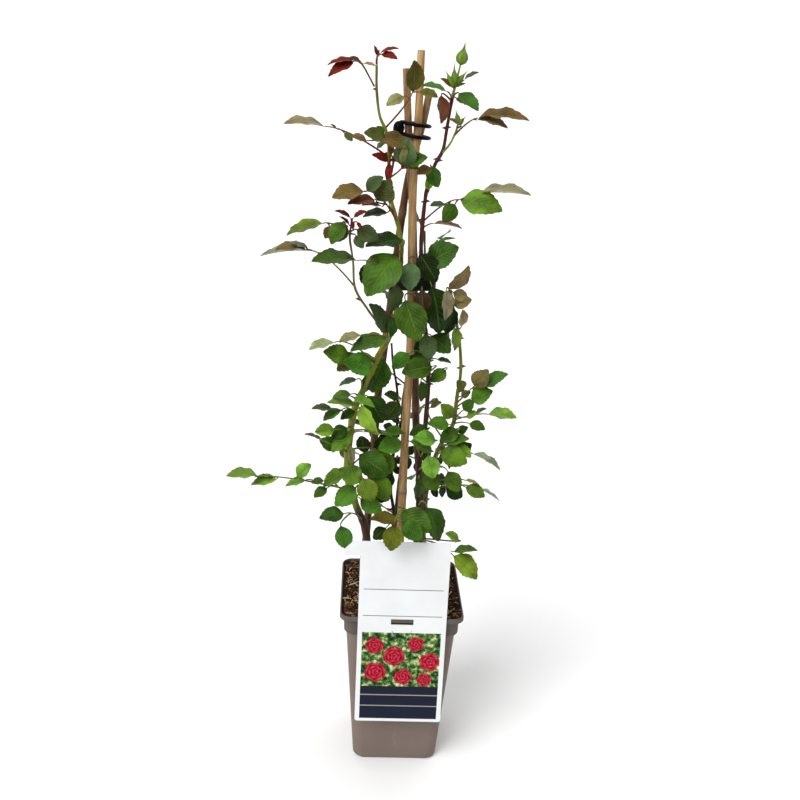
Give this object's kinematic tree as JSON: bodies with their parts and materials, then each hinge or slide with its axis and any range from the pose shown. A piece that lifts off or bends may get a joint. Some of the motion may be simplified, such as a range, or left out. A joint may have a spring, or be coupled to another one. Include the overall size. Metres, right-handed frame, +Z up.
{
  "type": "potted climbing rose on bamboo canes",
  "caption": "Climbing rose with leafy stems and green buds, tied to bamboo canes in a square nursery pot of peat with a hanging card label.",
  "frame": {"origin": "centre of the pot's flat underside", "axes": "+Z up along the plant, -Y to the front where the label hangs, +X to the right seen from the front"},
  "size_m": [0.3317, 0.2053, 0.877],
  "materials": {
    "pot_plastic": "taupe-grey moulded polypropylene, satin, slightly dusty",
    "peat": "dark brown peat with bark chips, dull and rough",
    "bamboo": "dried bamboo, tan with darker streaks and joints, low sheen",
    "black_rubber": "black rubber and plastic, slight sheen",
    "printed_card": "white coated card with a plain printed panel",
    "green_leaf": "rose leaves and stems, mid to dark green, bronze at the tips, soft sheen",
    "red_leaf": "deep red young leaves, soft sheen",
    "bud_green": "yellow-green flower buds and their leafy sepals, matt"
  },
  "bodies": {
    "root": {"pot": "pot_plastic", "soil": "peat", "cane_front": "bamboo", "cane_right": "bamboo", "cane_left": "bamboo", "top_tie": "black_rubber", "middle_band": "black_rubber", "label": "printed_card", "stem_left": "green_leaf", "stem_flowering": "green_leaf", "stem_right": "green_leaf", "stem_middle": "green_leaf", "stem_back": "green_leaf", "shoot_left": "green_leaf", "young_tip_left": "red_leaf", "young_leaf_left": "red_leaf", "young_shoot": "red_leaf", "young_tip_shoot": "red_leaf", "bud_cluster": "bud_green", "bud_spray": "bud_green"}
  },
  "joints": []
}
